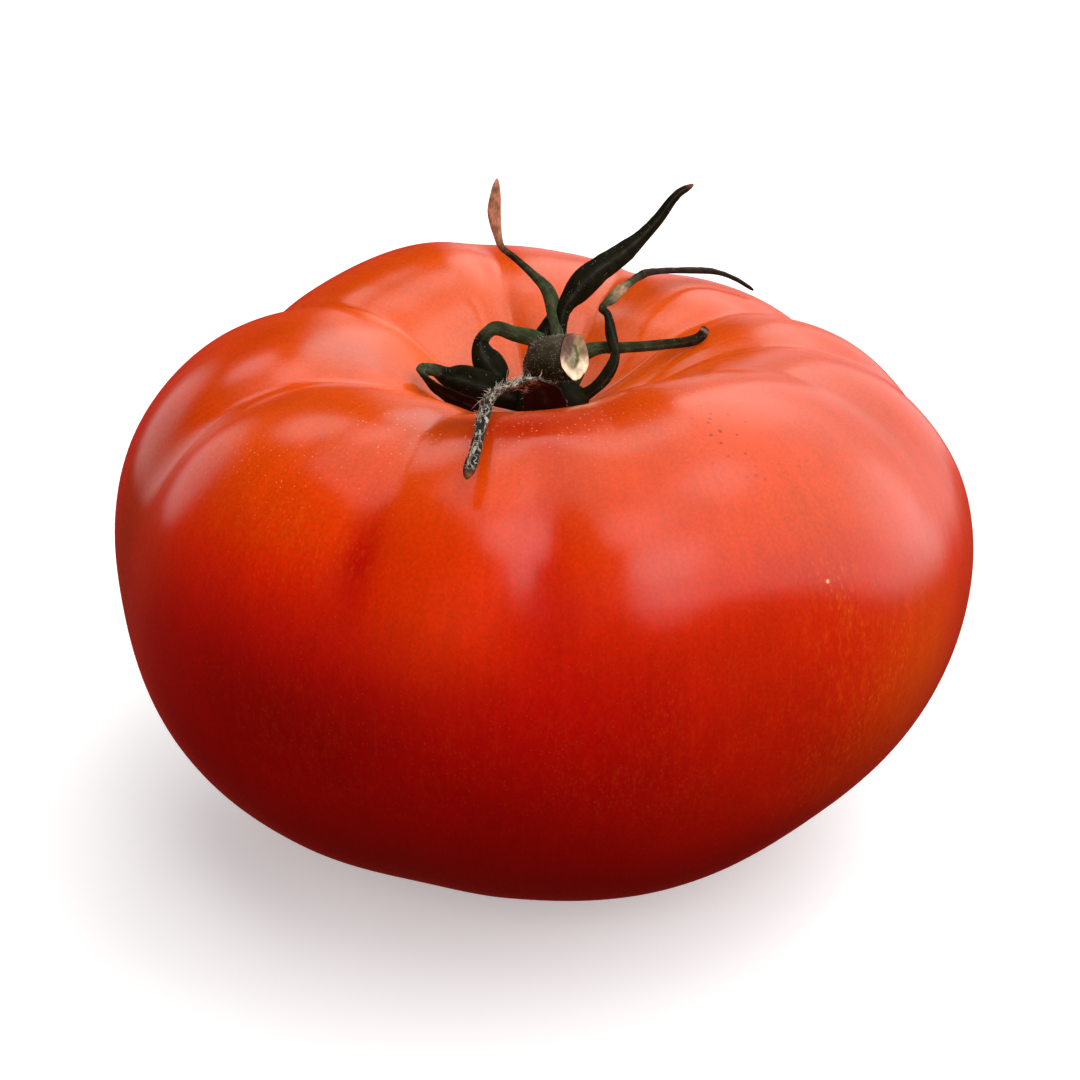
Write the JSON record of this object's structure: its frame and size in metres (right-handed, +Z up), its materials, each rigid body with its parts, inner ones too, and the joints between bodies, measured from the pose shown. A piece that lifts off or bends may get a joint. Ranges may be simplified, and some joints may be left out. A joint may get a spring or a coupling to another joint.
{
  "type": "tomato",
  "caption": "Ribbed beefsteak tomato as picked: a squat lobed fruit with a hollow round its dried green calyx and cut stalk stub, resting on its flat underside.",
  "frame": {"origin": "middle of the small flat spot under the fruit, where it rests", "axes": "+Z up through the hollow at the stalk, -Y towards the viewer of the picture, +X to that viewer's right"},
  "size_m": [0.094, 0.0938, 0.0714],
  "materials": {
    "fruit_skin": "smooth waxy red-orange tomato skin with soft broad reflections, deeper red low down, fine pores",
    "calyx_green": "dull dark green drying leaf with fine pale hairs, brown and papery at the tips",
    "stalk_green": "fuzzy grey-green stalk with a pale cut face"
  },
  "bodies": {
    "root": {"fruit": "fruit_skin", "calyx": "calyx_green", "stalk": "stalk_green"}
  },
  "joints": []
}
